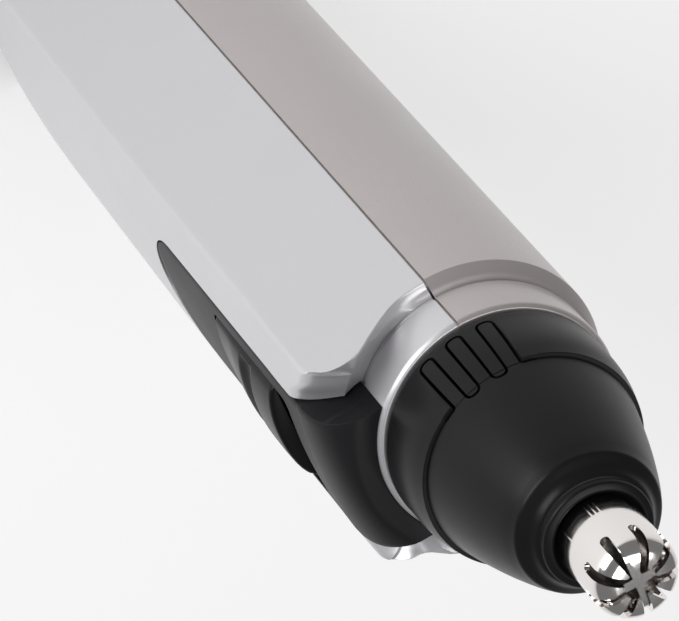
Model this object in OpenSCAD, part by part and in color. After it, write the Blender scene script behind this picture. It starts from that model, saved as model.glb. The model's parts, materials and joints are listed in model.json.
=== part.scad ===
// Battery nose hair trimmer: a D-shaped two-part case, a black grip with a slide switch,
// a twist-off cutting head with a slotted steel tube, and a pull-off battery cap.
// It stands on its cap: +Z runs up the axis to the cutting tip, the grip faces -Y,
// and the origin is on the axis at the centre of the flat foot.

/* [Case] */
// Height of the neck plane, where the cutting head meets the case
neck_z = 117; // [112:1:125]
// Half the width of the case near the neck
half_w_neck = 12; // [11.8:0.1:12.4]
// Half the width of the case low down, where it is widest
half_w_low = 12.9; // [12.6:0.1:13.5]
// Distance from the axis to the crown of the front face, low down
front_d = 15; // [14.9:0.1:15.4]
// Wall of the case
wall = 1.4; // [1.2:0.1:1.6]
// Height of the battery cap
cap_h = 14; // [12:1:16]
// Half the width of the grip in the front face
grip_half_w = 7; // [6.7:0.1:7.3]

/* [Neck] */
// Outer radius of the neck ring
neck_r = 10.9; // [10.8:0.1:11.1]
// Height of the neck ring
neck_h = 5.4; // [5:0.1:5.8]
// Radius of the bore that takes the neck socket
neck_bore_r = 9.6; // [9.5:0.1:9.8]
// Radius of the socket that takes the cutting head
socket_r = 8.2; // [8.1:0.1:8.4]

/* [Cutting head] */
// Height of the collar at the foot of the head
collar_h = 7.1; // [6.5:0.1:7.5]
// Radius of the collar at its foot
collar_r = 10.57; // [10.4:0.01:10.7]
// Height of the front rim of the cone above the neck plane
cone_rim_h = 17.8; // [17:0.1:18.5]
// Radius of the front rim of the cone
cone_rim_r = 6.5; // [6.3:0.1:6.8]
// Outer radius of the blade tube
blade_r = 3.7; // [3.6:0.05:3.8]
// Height of the cutting tip above the neck plane
tip_h = 28; // [27:0.5:29]
// Number of slots in the blade tube
slot_count = 9; // [7:1:11]
// Width of a blade slot
slot_w = 0.65; // [0.5:0.05:0.8]
// Depth of a blade slot below the tip
slot_depth = 2.95; // [2.5:0.05:3.5]

/* [Drive] */
// Radius of the motor can
motor_r = 7.6; // [7:0.1:7.7]
// Length of the motor can
motor_len = 20; // [18:1:22]
// Radius of the motor shaft
motor_shaft_r = 1; // [0.75:0.05:1.2]
// Radius of the cutter shaft
blade_shaft_r = 1.5; // [1.3:0.1:1.7]

/* [Battery and switch] */
// Radius of the battery cell
cell_r = 7.15; // [7.1:0.05:7.25]
// Length of the battery cell over its positive nub
cell_len = 50.5; // [50:0.1:50.5]
// Travel of the slide switch
switch_travel = 3.3; // [2.5:0.1:3.3]

/* [Hidden] */
$fn = 64;

SILVER = "#c9c8cc";
BLACK = "#2a292b";
GREY = "#7d7f84";
STEEL = "#b9bcc0";
COPPER = "#b87343";
BRASS = "#c7a14c";
NYLON = "#e6e3da";
RUBBER = "#1b1b1c";
CELL = "#4d6a78";

eps = 0.01;
far = 20;
part_gap = 0.1;
run_gap = 0.05;

// Case outline: flat sides, a round back and a front face that is a shallow arch
face_drop = 1.65;
neck_drop = 0.4;
neck_drop_from = 45;
neck_drop_to = 10;
widest_z = 30;
shoulder_z = neck_z - neck_h;
foot_drop = 1.5;
foot_inset = 1.5;
foot_round_z = 2.4;
front_wall = 2.3;
grip_floor = 1.9;
arc_steps = 24;
face_steps = 8;
case_steps = 10;

// Grip: plate in the front face, and a nose that wraps the neck
grip_len = 44;
nose_r = 12.9;
nose_slope_r = 15.6;
nose_slope_h = 5;
side_tilt = 32.6;
moat_z = neck_z - 5.1;
moat_w = 6;
corner_line = [[0, -far], [0, -neck_h], [-3.5, -5.2], [-6.6, -3.1], [-8.2, -1.7], [-9.4, -1.35],
               [-10.8, -1.35], [-12.3, -2.4], [-13, -4.6], [-13.4, -8], [-16, -9], [-16, -far]];
shoulder_h = 2.6;
grip_nose_z = neck_z - neck_h - shoulder_h;
grip_top_z = neck_z - 0.5;

// Switch
button_half_w = 5.2;
button_len = 14.6;
button_low_z = neck_z - 28.5;
button_top_y = 15.75;
button_crown = 0.7;
finger_groove_r = 1.9;
finger_groove_in = 0.6;
finger_groove_z = neck_z - 20.3;
stem_half_w = 1.5;
stem_len = 3;
stem_low_z = button_low_z + 5;
stem_gap = 0.3;

// Stack along the axis, from the foot up
cell_low_z = cap_h + 1;
cell_top_z = cell_low_z + cell_len;
bulkhead_z = cell_top_z + 1.2;
bulkhead_h = 1.6;
motor_low_z = bulkhead_z + bulkhead_h + 3;
motor_top_z = motor_low_z + motor_len;
socket_floor_z = neck_z - 14;
socket_floor_h = 2;
cell_tube_r = cell_r + 0.2;
tube_wall = 1.1;
sleeve_wall = 0.6;
motor_seat_r = motor_r + sleeve_wall;

// Head: spigot, seal groove and keyway
spigot_gap = 0.15;
spigot_r = socket_r - spigot_gap;
spigot_bore_r = 6.3;
spigot_h = 9;
seal_z = neck_z - 3;
seal_wire_r = 0.42;
seal_mid_r = spigot_r - 0.38;
key_w = 10;
key_h = 3;
key_low_z = neck_z - spigot_h - 1;
twist = 30;
twist_gap = 0.8;
key_mid = 90;
ledge_r = 9.4;
collar_top_r = 9.75;
finger_pitch = 8;
finger_first = 166.3;
cone_bore_r = 5.2;
bezel_r = 4.9;
bezel_low_h = 17.5;
bezel_top_h = 20.3;
blade_wall = 0.45;
blade_bore_r = blade_r - blade_wall;
blade_round = 1.5;
blade_foot_r = blade_r - 0.2;
tip_relief = 0.1;
star_r = 1.2;
slot_first = 33.5;
blade_foot_h = 11;

// Cutter
cutter_r = blade_bore_r - run_gap;
cutter_len = 8;
cutter_top_h = tip_h - 0.6;
dog_low_z = motor_top_z + 3.2;
dog_h = 5;
dog_r = 3;
dog_flat = 1.1;

// Cap
cap_spigot_h = 6;
cap_spigot_r = 10;
cap_bore_r = 8.9;
cap_seal_wire_r = 0.45;
spring_wire_r = 0.35;
spring_turns = 5;
spring_r = 4.6;
cap_floor_z = 5;

// Case and grip details
case_low_z = cap_h + part_gap;
neck_groove = 0.45;
button_gap = 0.25;

// Battery and contacts
nub_r = 2.7;
nub_h = 1;
contact_r = 5.4;
contact_pip_r = 2;
wire_hole_r = 2.2;
strip_half_w = 1.5;
post_half_w = 4.5;
plate_half_w = 4;
wiper_half_w = 3;
cap_contact_r = 6.5;
cap_contact_h = 0.4;
cap_groove_h = 1.1;

// Frame and motor details
bay_r = half_w_low - wall - 0.25;
bay_bore_r = cap_spigot_r + 0.7;
cradle_r = motor_seat_r + tube_wall;
strip_t = 0.3;
strip_x = 4.2;
plate_y = 10;
wiper_y = 10.75;
plate_low_z = button_low_z + 1;
plate_top_z = plate_low_z + 12;
end_cap_flange = 1.2;
tab_h = 1;
can_wall = 0.6;
can_boss_r = 3.4;
can_boss_h = 1.4;
end_cap_plug_h = 1.6;
bush_r = 2.6;
bush_h = 2.5;
bush_gap = 0.03;
magnet_bore_r = 5.6;
armature_r = 5.3;
armature_z = motor_low_z + 6;
armature_h = 9.5;
winding_r = 4.6;
winding_h = 1.3;
brush = [2.8, 1.2, 1.4];
commutator_r = 2.4;
commutator_h = 2.6;
commutator_z = motor_low_z + 1.9;
seal_seat_r = 3.4;

// Head and cutter details
key_depth = 0.8;
skirt_r = 8.9;
collar_flange = 1;
cone_bulge = 0.12;
dog_hub_h = 3;
dog_bore_h = 2.6;
coupling_h = 3.6;
key_slot_h = 2.2;
collar_flare = 0.115;
seal_groove_h = 1;
seal_groove_depth = 0.85;
blade_rib = 0.4;
cutter_top_z = neck_z + cutter_top_h;
cutter_low_z = cutter_top_z - cutter_len;
spring_top_z = neck_z - 4;
blade_spring_h = 7;
cap_seal_z = cap_h + 3;
cap_seal_r = cap_spigot_r + 0.15;

function clamp01(t) = min(1, max(0, t));
function half_w(z) = half_w_low
    + (half_w_neck - half_w_low) * clamp01((z - widest_z) / (shoulder_z - widest_z));
function front_y(z) = front_d - foot_drop * pow(clamp01((widest_z - z) / (widest_z - 8)), 2)
    - neck_drop * clamp01((z - neck_z + neck_drop_from) / (neck_drop_from - neck_drop_to));
function foot_in(z) = z < foot_round_z
    ? foot_inset * (1 - sqrt(1 - pow(1 - z / foot_round_z, 2))) : 0;

// One closed outline of the case at height z, pulled in by t, and by t_front at the front
function outline(z, t, t_front) =
    let (w = half_w(z) - t, f = front_y(z) - t_front)
    concat(
        [for (i = [0 : arc_steps]) [w * cos(180 * i / arc_steps), w * sin(180 * i / arc_steps)]],
        [for (i = [0 : face_steps])
            let (x = -w + 2 * w * i / face_steps) [x, -(f - face_drop * pow(x / w, 2))]]);

// Closed skin over outlines stacked at the heights in levels
module skin(levels, t, t_front) {
    rings = [for (z = levels) outline(z, t + foot_in(z), t_front + foot_in(z))];
    n = len(rings[0]);
    m = len(levels);
    points = [for (k = [0 : m - 1]) for (p = rings[k]) [p[0], p[1], levels[k]]];
    low = [[for (i = [0 : n - 1]) i]];
    high = [[for (i = [0 : n - 1]) m * n - 1 - i]];
    sides = [for (k = [0 : m - 2]) for (i = [0 : n - 1])
        let (a = k * n + i, b = k * n + (i + 1) % n, c = b + n, d = a + n)
        each [[a, c, b], [a, d, c]]];
    polyhedron(points, concat(low, sides, high), convexity = 6);
}

function steps(low, high, count) = [for (i = [0 : count]) low + (high - low) * i / count];

module tube(r_out, r_in, z, h) {
    translate([0, 0, z])
        difference() {
            cylinder(r = r_out, h = h);
            translate([0, 0, -eps]) cylinder(r = r_in, h = h + 2 * eps);
        }
}

module ring(mid_r, wire_r, z) {
    translate([0, 0, z])
        rotate_extrude() translate([mid_r, 0]) circle(r = wire_r, $fn = 24);
}

module block(x0, x1, y0, y1, z0, z1) {
    translate([x0, y0, z0]) cube([x1 - x0, y1 - y0, z1 - z0]);
}

// Prism along X from an outline of [y, z] points
module side_prism(points, half_len) {
    rotate([90, 0, 90])
        linear_extrude(height = 2 * half_len, center = true) polygon(points);
}

// Prism along Y from an outline in the X-Z plane
module front_prism(y0, y1) {
    translate([0, y1, 0]) rotate([90, 0, 0]) linear_extrude(height = y1 - y0) children();
}

// Pie slice between two angles
module wedge(a0, a1, r, z0, z1) {
    translate([0, 0, z0])
        linear_extrude(height = z1 - z0)
            polygon([[0, 0], [r * cos(a0), r * sin(a0)],
                     [1.1 * r * cos((a0 + a1) / 2), 1.1 * r * sin((a0 + a1) / 2)],
                     [r * cos(a1), r * sin(a1)]]);
}

// Coil of round wire, drawn as a swept polygon
module coil(mid_r, wire_r, z0, height, turns) {
    per_turn = 16;
    sides = 8;
    count = turns * per_turn;
    points = [for (k = [0 : count]) for (j = [0 : sides - 1])
        let (a = 360 * k / per_turn, b = 360 * j / sides, r = mid_r + wire_r * cos(b))
        [r * cos(a), r * sin(a), z0 + height * k / count + wire_r * sin(b)]];
    low = [[for (j = [0 : sides - 1]) j]];
    high = [[for (j = [0 : sides - 1]) count * sides + sides - 1 - j]];
    walls = [for (k = [0 : count - 1]) for (j = [0 : sides - 1])
        let (a = k * sides + j, b = k * sides + (j + 1) % sides, c = b + sides, d = a + sides)
        each [[a, c, b], [a, d, c]]];
    polyhedron(points, concat(low, walls, high), convexity = 8);
}

// Case ------------------------------------------------------------------------------------

// Outline of the grip on the front face, seen from the front
module grip_outline() {
    low = neck_z - 2 - grip_len + grip_half_w;
    translate([0, low]) circle(r = grip_half_w);
    translate([-grip_half_w, low]) square([2 * grip_half_w, neck_z + 3 - low]);
}

// Space that the grip fills: a pocket in the front face, and the front of the neck
module grip_space() {
    front_prism(-far, -(front_d - grip_floor)) grip_outline();
    difference() {
        block(-grip_half_w, grip_half_w, -far, -neck_r + 3.5, grip_nose_z, neck_z + 2);
        translate([0, 0, grip_nose_z - 1]) cylinder(r = neck_r, h = far);
    }
}

// Side view of a front corner: its upper edge, from the neck plane, climbs from the seam to the front
module side_profile() {
    side_prism([for (p = corner_line) [p[0], p[1] * cos(side_tilt)]], 2 * far);
}

// Front corners: each falls from its side panel towards the nose, and a moat round the neck cuts it
module front_corners() {
    difference() {
        for (side = [-1, 1])
            intersection() {
                translate([side * half_w_neck, 0, neck_z]) rotate([0, -side * side_tilt, 0]) side_profile();
                block(min(0, side * far), max(0, side * far), -far, 0, 0, neck_z + 2);
            }
        translate([0, 0, moat_z]) cylinder(r1 = neck_r, r2 = neck_r + moat_w, h = moat_w);
    }
}

module case_body() {
    difference() {
        union() {
            skin(steps(case_low_z, shoulder_z, case_steps), 0, 0);
            intersection() {
                skin(steps(shoulder_z - 1, neck_z + 1, 2), 0, 0);
                front_corners();
            }
            translate([0, 0, shoulder_z - 1]) cylinder(r = neck_r, h = neck_h + 1);
        }
        skin(steps(case_low_z - 1, shoulder_z - shoulder_h, case_steps), wall, front_wall);
        translate([0, 0, shoulder_z - shoulder_h - 1]) cylinder(r = neck_bore_r, h = far);
        tube(neck_r + neck_groove, neck_r, shoulder_z, far);
    }
}

module front_shell() {
    color(SILVER)
        difference() {
            intersection() {
                case_body();
                block(-far, far, -far, 0, 0, neck_z + 2);
            }
            grip_space();
            block(-stem_half_w - stem_gap, stem_half_w + stem_gap, -far, -plate_y,
                  stem_low_z - stem_gap, stem_low_z + stem_len + switch_travel + stem_gap);
        }
}

module back_shell() {
    color(SILVER)
        intersection() {
            case_body();
            block(-far, far, 0, far, 0, neck_z + 2);
        }
}

module grip_panel() {
    color(BLACK)
        difference() {
            intersection() {
                union() {
                    intersection() {
                        skin(steps(neck_z - 2 - grip_len - 2, grip_nose_z + 4, 14), 0, 0);
                        block(-far, far, -far, 0, 0, grip_nose_z);
                    }
                    intersection() {
                        side_prism([[-5, grip_nose_z], [-5, grip_top_z], [-nose_r, grip_top_z],
                                    [-13.6, grip_top_z - 1.2], [-14.2, grip_top_z - 3.5],
                                    [-front_d + neck_drop, grip_nose_z]], grip_half_w);
                        union() {
                            translate([0, 0, grip_top_z - nose_slope_h])
                                cylinder(r1 = nose_slope_r, r2 = nose_r, h = nose_slope_h);
                            cylinder(r = far, h = grip_top_z - nose_slope_h);
                        }
                    }
                }
                grip_space();
            }
            block(-button_half_w - button_gap, button_half_w + button_gap, -far, -plate_y,
                  button_low_z - button_gap, button_low_z + button_len + switch_travel + button_gap);
        }
}

module neck_socket() {
    color(GREY) {
        difference() {
            translate([0, 0, socket_floor_z])
                cylinder(r = neck_bore_r - run_gap, h = neck_z - 0.6 - socket_floor_z);
            translate([0, 0, socket_floor_z + socket_floor_h]) cylinder(r = socket_r, h = far);
            translate([0, 0, socket_floor_z - 1]) cylinder(r = seal_seat_r, h = far);
        }
        intersection() {
            tube(socket_r + 0.3, socket_r - key_depth, key_low_z, key_h);
            wedge(key_mid - key_w / 2, key_mid + key_w / 2, 12, key_low_z - 1, key_low_z + key_h + 1);
        }
    }
}

module shaft_seal() {
    color(RUBBER) tube(seal_seat_r, blade_shaft_r + run_gap, socket_floor_z, socket_floor_h);
}

// Frame and battery -----------------------------------------------------------------------

module chassis() {
    color(GREY)
        difference() {
            union() {
                tube(bay_r, bay_bore_r, case_low_z + 0.4, cap_spigot_h + 1);
                tube(bay_r, cell_tube_r, case_low_z + cap_spigot_h + 1.4, tube_wall);
                tube(cell_tube_r + tube_wall, cell_tube_r, case_low_z + 0.4, bulkhead_z - case_low_z - 0.4);
                translate([0, 0, bulkhead_z]) cylinder(r = cradle_r, h = bulkhead_h);
                tube(cradle_r, motor_seat_r, bulkhead_z + bulkhead_h,
                     socket_floor_z - bulkhead_z - bulkhead_h);
                difference() {
                    block(-post_half_w, post_half_w, -plate_y, -5, plate_low_z + 0.3, plate_top_z);
                    cylinder(r = motor_seat_r, h = neck_z);
                }
            }
            translate([0, 0, bulkhead_z - 1]) cylinder(r = wire_hole_r, h = bulkhead_h + 2);
            block(strip_x - part_gap, strip_x + strip_t + part_gap, -strip_half_w - part_gap,
                  strip_half_w + part_gap, bulkhead_z - 1, bulkhead_z + bulkhead_h + 2);
        }
}

module battery() {
    color(CELL) {
        translate([0, 0, cell_low_z]) cylinder(r = cell_r, h = cell_len - nub_h);
        translate([0, 0, cell_top_z - nub_h]) cylinder(r = nub_r, h = nub_h);
    }
}

module positive_contact() {
    color(BRASS) {
        translate([0, 0, bulkhead_z - strip_t]) cylinder(r = contact_r, h = strip_t);
        translate([0, 0, cell_top_z]) cylinder(r = contact_pip_r, h = bulkhead_z - strip_t - cell_top_z);
    }
}

module negative_strip() {
    color(BRASS) {
        block(-strip_half_w, strip_half_w, -cradle_r - strip_t, -cradle_r,
              case_low_z + cap_spigot_h + 2.5, plate_low_z);
        block(-strip_half_w, strip_half_w, -plate_y - strip_t, -cradle_r,
              plate_low_z - strip_t, plate_low_z);
    }
}

module switch_plate() {
    color(BRASS)
        difference() {
            block(-plate_half_w, plate_half_w, -plate_y - strip_t, -plate_y, plate_low_z, plate_top_z);
            block(-0.4, 0.4, -plate_y - 1, -plate_y + 1, plate_low_z + 3, plate_top_z + 1);
        }
}

module motor_strip() {
    color(BRASS)
        block(strip_x, strip_x + strip_t, -strip_half_w, strip_half_w,
              bulkhead_z, motor_low_z - end_cap_flange - tab_h);
}

// Motor -----------------------------------------------------------------------------------

module motor_sleeve() {
    color(RUBBER) tube(motor_seat_r, motor_r, motor_low_z + 2, motor_len - 4);
}

module motor_can() {
    color(STEEL)
        difference() {
            union() {
                translate([0, 0, motor_low_z]) cylinder(r = motor_r, h = motor_len);
                translate([0, 0, motor_top_z]) cylinder(r = can_boss_r, h = can_boss_h);
            }
            translate([0, 0, motor_low_z - 1])
                cylinder(r = motor_r - can_wall, h = motor_len + 1 - can_wall);
            translate([0, 0, motor_low_z]) cylinder(r = bush_r, h = motor_len + 4);
        }
}

module motor_end_cap() {
    color(NYLON)
        difference() {
            union() {
                translate([0, 0, motor_low_z - end_cap_flange]) cylinder(r = motor_r, h = end_cap_flange);
                translate([0, 0, motor_low_z]) cylinder(r = motor_r - can_wall, h = end_cap_plug_h);
            }
            translate([0, 0, motor_low_z - 3]) cylinder(r = bush_r, h = 6);
        }
}

module motor_bearings() {
    color(BRASS) {
        tube(bush_r, motor_shaft_r + bush_gap, motor_low_z - end_cap_flange, bush_h);
        tube(bush_r, motor_shaft_r + bush_gap, motor_top_z - can_wall, can_wall + can_boss_h);
    }
}

module field_magnets() {
    color("#3c3d40")
        difference() {
            tube(motor_r - can_wall, magnet_bore_r, motor_low_z + 4.5, motor_len - 6.5);
            block(-10, 10, -1.8, 1.8, motor_low_z, motor_top_z);
        }
}

module motor_brushes() {
    color(COPPER)
        for (side = [-1, 1])
            translate([side * (commutator_r + brush[0] / 2 + 0.2), 0, commutator_z + 1.2])
                cube(brush, center = true);
}

module motor_terminals() {
    color(BRASS)
        for (side = [0, 1])
            mirror([side, 0, 0])
                block(strip_x, strip_x + strip_t, -1, 1,
                      motor_low_z - end_cap_flange - tab_h, motor_low_z - end_cap_flange);
}

module motor_shaft() {
    color(STEEL)
        translate([0, 0, motor_low_z - end_cap_flange + 0.2])
            cylinder(r = motor_shaft_r, h = dog_low_z + dog_bore_h - (motor_low_z - end_cap_flange + 0.2));
}

module armature() {
    color(STEEL)
        difference() {
            tube(armature_r, motor_shaft_r, armature_z, armature_h);
            for (a = [0 : 120 : 240])
                rotate([0, 0, a]) {
                    block(2.2, 4.4, -1.6, 1.6, armature_z - 1, armature_z + armature_h + 1);
                    block(4, 8, -0.5, 0.5, armature_z - 1, armature_z + armature_h + 1);
                }
        }
}

module windings() {
    color(COPPER) {
        tube(winding_r, motor_shaft_r, armature_z - winding_h, winding_h);
        tube(winding_r, motor_shaft_r, armature_z + armature_h, winding_h);
        for (a = [0 : 120 : 240])
            rotate([0, 0, a])
                block(2.3, 4.3, -1.5, 1.5, armature_z, armature_z + armature_h);
    }
}

module commutator() {
    color(COPPER)
        difference() {
            tube(commutator_r, motor_shaft_r, commutator_z, commutator_h);
            for (a = [60 : 120 : 300])
                rotate([0, 0, a]) block(1.8, 4, -0.15, 0.15, commutator_z - 1, commutator_z + 4);
        }
}

module drive_dog() {
    color(NYLON)
        difference() {
            union() {
                translate([0, 0, dog_low_z]) cylinder(r = dog_r, h = dog_hub_h);
                intersection() {
                    block(-dog_r, dog_r, -dog_flat, dog_flat, dog_low_z + dog_hub_h, dog_low_z + dog_h);
                    translate([0, 0, dog_low_z]) cylinder(r = dog_r - 0.2, h = 10);
                }
            }
            translate([0, 0, dog_low_z - 1]) cylinder(r = motor_shaft_r, h = dog_bore_h + 1);
        }
}

// Cutter ----------------------------------------------------------------------------------

module blade_shaft() {
    foot_z = dog_low_z + dog_hub_h + 0.4;
    color(NYLON)
        difference() {
            union() {
                translate([0, 0, foot_z]) cylinder(r = dog_r + 0.2, h = coupling_h);
                translate([0, 0, foot_z + 3]) cylinder(r = blade_shaft_r, h = cutter_low_z - foot_z - 3);
                translate([0, 0, spring_top_z]) cylinder(r = blade_shaft_r + 1.1, h = 1);
            }
            block(-far, far, -dog_flat - part_gap, dog_flat + part_gap, foot_z - 1, foot_z + key_slot_h);
        }
}

module blade_spring() {
    color(STEEL)
        coil(blade_shaft_r + 0.6, 0.25, spring_top_z - blade_spring_h + 0.3, blade_spring_h - 0.55, 4);
}

// Inside of the closed end of the blade tube, as a solid of radius r up to height top
module round_ended(r, low, top, round) {
    rotate_extrude()
        union() {
            translate([0, low]) square([r, top - round - low]);
            translate([0, low]) square([r - round, top - low]);
            intersection() {
                translate([r - round, top - round]) circle(r = round, $fn = 48);
                square([r, top]);
            }
        }
}

module inner_blade() {
    color(STEEL) {
        translate([0, 0, cutter_low_z]) cylinder(r = cutter_r, h = 2);
        intersection() {
            round_ended(cutter_r, cutter_low_z, cutter_top_z, blade_round - 0.4);
            for (a = [0, 90])
                rotate([0, 0, a])
                    block(-cutter_r, cutter_r, -blade_rib, blade_rib, cutter_low_z + 1, cutter_top_z);
        }
    }
}

// Cutting head ----------------------------------------------------------------------------

module head_seal() {
    color(RUBBER) ring(seal_mid_r, seal_wire_r, seal_z);
}

// Collar wall between the skirt of the cone and the outside
module collar_wall(low) {
    translate([0, 0, neck_z])
        rotate_extrude()
            polygon([[skirt_r, low], [collar_r - low * collar_flare, low],
                     [collar_top_r, collar_h], [skirt_r, collar_h]]);
}

// Three fingers of the cone that reach down between the collar's fingers
module finger_slices(margin) {
    for (k = [0 : 2])
        wedge(finger_first + 2 * k * finger_pitch - margin,
              finger_first + (2 * k + 1) * finger_pitch + margin,
              14, neck_z + collar_flange, neck_z + collar_h + 1);
}

module head_collar() {
    color(BLACK)
        difference() {
            union() {
                tube(spigot_r, spigot_bore_r, neck_z - spigot_h, spigot_h + collar_flange);
                translate([0, 0, neck_z])
                    rotate_extrude()
                        polygon([[spigot_r - 1, part_gap], [collar_r, part_gap],
                                 [collar_r - 0.1, collar_flange], [spigot_r - 1, collar_flange]]);
                difference() {
                    collar_wall(collar_flange);
                    finger_slices(0.5);
                }
            }
            tube(spigot_r + 1, spigot_r - seal_groove_depth, seal_z - seal_groove_h / 2, seal_groove_h);
            intersection() {
                tube(spigot_r + 1, spigot_r - 1, key_low_z - 1, key_h + 1 + 0.4);
                wedge(key_mid - key_w / 2 - twist - twist_gap, key_mid + key_w / 2 + twist_gap,
                      14, key_low_z - 2, key_low_z + key_h + 2);
            }
        }
}

module nose_cone() {
    color(BLACK) {
        translate([0, 0, neck_z])
            rotate_extrude()
                polygon(concat(
                    [[skirt_r - 1.2, collar_flange], [skirt_r, collar_flange], [skirt_r, collar_h]],
                    [for (i = [0 : 8])
                        let (t = i / 8)
                        [ledge_r + (cone_rim_r - ledge_r) * t + cone_bulge * 4 * t * (1 - t),
                         collar_h + (cone_rim_h - collar_h) * t]],
                    [[bezel_r, cone_rim_h + 1.8], [bezel_r, bezel_low_h], [blade_foot_r, bezel_low_h],
                     [blade_foot_r, blade_foot_h + 1], [cone_bore_r, blade_foot_h + 1],
                     [cone_bore_r, blade_foot_h]]));
        intersection() {
            collar_wall(collar_flange);
            finger_slices(0);
        }
    }
}

module blade_bezel() {
    color(BLACK) tube(bezel_r, blade_foot_r, neck_z + bezel_low_h, bezel_top_h - bezel_low_h);
}

module outer_blade() {
    color(STEEL)
        difference() {
            union() {
                round_ended(blade_foot_r, neck_z + blade_foot_h, neck_z + bezel_top_h + 1, 0.1);
                round_ended(blade_r - tip_relief, neck_z + bezel_top_h, neck_z + tip_h, blade_round);
                translate([0, 0, neck_z + bezel_top_h])
                    cylinder(r = blade_r, h = tip_h - slot_depth - bezel_top_h);
                translate([0, 0, neck_z + blade_foot_h]) cylinder(r = cone_bore_r - run_gap, h = 1);
            }
            round_ended(blade_bore_r, neck_z + blade_foot_h - 1, neck_z + tip_h - blade_wall,
                        blade_round - 0.4);
            translate([0, 0, neck_z + tip_h - 2]) cylinder(r = star_r, h = 4);
            for (k = [0 : slot_count - 1])
                rotate([0, 0, slot_first + k * 360 / slot_count])
                    block(0, blade_r + 1, -slot_w / 2, slot_w / 2,
                          neck_z + tip_h - slot_depth, neck_z + tip_h + 1);
        }
}

// Switch ----------------------------------------------------------------------------------

module switch_button() {
    foot_y = front_d - grip_floor + part_gap;
    crown_r = (pow(button_half_w, 2) + pow(button_crown, 2)) / (2 * button_crown);
    color(BLACK) {
        difference() {
            intersection() {
                block(-button_half_w, button_half_w, -button_top_y, -foot_y,
                      button_low_z, button_low_z + button_len);
                translate([0, crown_r - button_top_y, 0]) cylinder(r = crown_r, h = neck_z, $fn = 128);
            }
            translate([0, -button_top_y, button_low_z])
                rotate([0, 90, 0]) cylinder(r = 1, h = 2 * far, center = true);
            translate([0, -button_top_y - finger_groove_r + finger_groove_in, finger_groove_z])
                rotate([0, 90, 0]) cylinder(r = finger_groove_r, h = 2 * far, center = true);
        }
        block(-stem_half_w, stem_half_w, -foot_y, -wiper_y, stem_low_z, stem_low_z + stem_len);
    }
}

module switch_wiper() {
    color(BRASS)
        block(-wiper_half_w, wiper_half_w, -wiper_y, -plate_y - strip_t - part_gap,
              stem_low_z - 1, stem_low_z + stem_len + 1);
}

// Battery cap -----------------------------------------------------------------------------

module battery_cap() {
    color(SILVER)
        difference() {
            union() {
                skin(concat([0, 0.3, 0.9, 1.6, foot_round_z], steps(foot_round_z + 1.6, cap_h, 5)), 0, 0);
                translate([0, 0, cap_h - 1]) cylinder(r = cap_spigot_r, h = cap_spigot_h + 1);
            }
            translate([0, 0, cap_floor_z]) cylinder(r = cap_bore_r, h = far);
            tube(cap_spigot_r + 1, cap_seal_r - cap_seal_wire_r - part_gap,
                 cap_seal_z - cap_groove_h / 2, cap_groove_h);
        }
}

module cap_seal() {
    color(RUBBER) ring(cap_seal_r, cap_seal_wire_r, cap_seal_z);
}

module cap_contact() {
    color(BRASS) translate([0, 0, cap_floor_z]) cylinder(r = cap_contact_r, h = cap_contact_h);
}

module negative_spring() {
    low = cap_floor_z + cap_contact_h + spring_wire_r + 0.02;
    color(STEEL) coil(spring_r, spring_wire_r, low, cell_low_z - spring_wire_r - 0.1 - low, spring_turns);
}

front_shell();
back_shell();
grip_panel();
chassis();
neck_socket();
shaft_seal();
battery();
positive_contact();
negative_strip();
motor_strip();
switch_plate();
motor_sleeve();
motor_can();
motor_end_cap();
motor_bearings();
field_magnets();
motor_brushes();
motor_terminals();
switch_button();
switch_wiper();
motor_shaft();
armature();
windings();
commutator();
drive_dog();
blade_shaft();
blade_spring();
inner_blade();
head_seal();
head_collar();
nose_cone();
blade_bezel();
outer_blade();
battery_cap();
cap_seal();
cap_contact();
negative_spring();
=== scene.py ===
"""Studio scene of a battery nose hair trimmer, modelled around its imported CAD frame."""
import json
import logging
import math
from dataclasses import dataclass, field
from enum import Enum
from typing import Callable, Optional, Sequence, Union

import bmesh
import bpy
from mathutils import Matrix, Vector


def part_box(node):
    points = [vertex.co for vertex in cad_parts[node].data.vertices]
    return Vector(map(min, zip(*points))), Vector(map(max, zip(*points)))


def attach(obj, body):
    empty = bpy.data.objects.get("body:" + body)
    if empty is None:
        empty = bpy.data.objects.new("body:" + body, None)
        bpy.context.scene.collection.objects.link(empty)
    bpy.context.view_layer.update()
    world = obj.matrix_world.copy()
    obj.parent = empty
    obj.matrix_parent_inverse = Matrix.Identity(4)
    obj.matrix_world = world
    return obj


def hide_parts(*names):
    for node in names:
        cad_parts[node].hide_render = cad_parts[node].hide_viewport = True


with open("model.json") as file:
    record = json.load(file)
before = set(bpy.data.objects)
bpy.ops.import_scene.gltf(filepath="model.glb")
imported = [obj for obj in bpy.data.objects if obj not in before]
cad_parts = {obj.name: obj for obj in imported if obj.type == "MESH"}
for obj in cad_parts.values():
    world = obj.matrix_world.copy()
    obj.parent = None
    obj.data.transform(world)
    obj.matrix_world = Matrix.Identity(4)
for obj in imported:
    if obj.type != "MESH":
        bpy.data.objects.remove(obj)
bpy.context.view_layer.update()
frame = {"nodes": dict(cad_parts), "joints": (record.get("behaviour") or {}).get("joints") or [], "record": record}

logging.basicConfig(level=logging.INFO, format="%(message)s")
LOG = logging.getLogger("trimmer")

MM = 0.001

Point = tuple[float, float, float]
Flat = tuple[float, float]
Ring = list[Point]


# Small maths -----------------------------------------------------------------------------


def lerp(a: float, b: float, t: float) -> float:
    """Return the value a share t of the way from a to b."""
    return a + (b - a) * t


def clamp01(t: float) -> float:
    """Return t held between 0 and 1."""
    return min(1.0, max(0.0, t))


def ease(t: float) -> float:
    """Return a smooth step from 0 to 1 as t goes from 0 to 1."""
    t = clamp01(t)
    return t * t * (3 - 2 * t)


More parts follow.
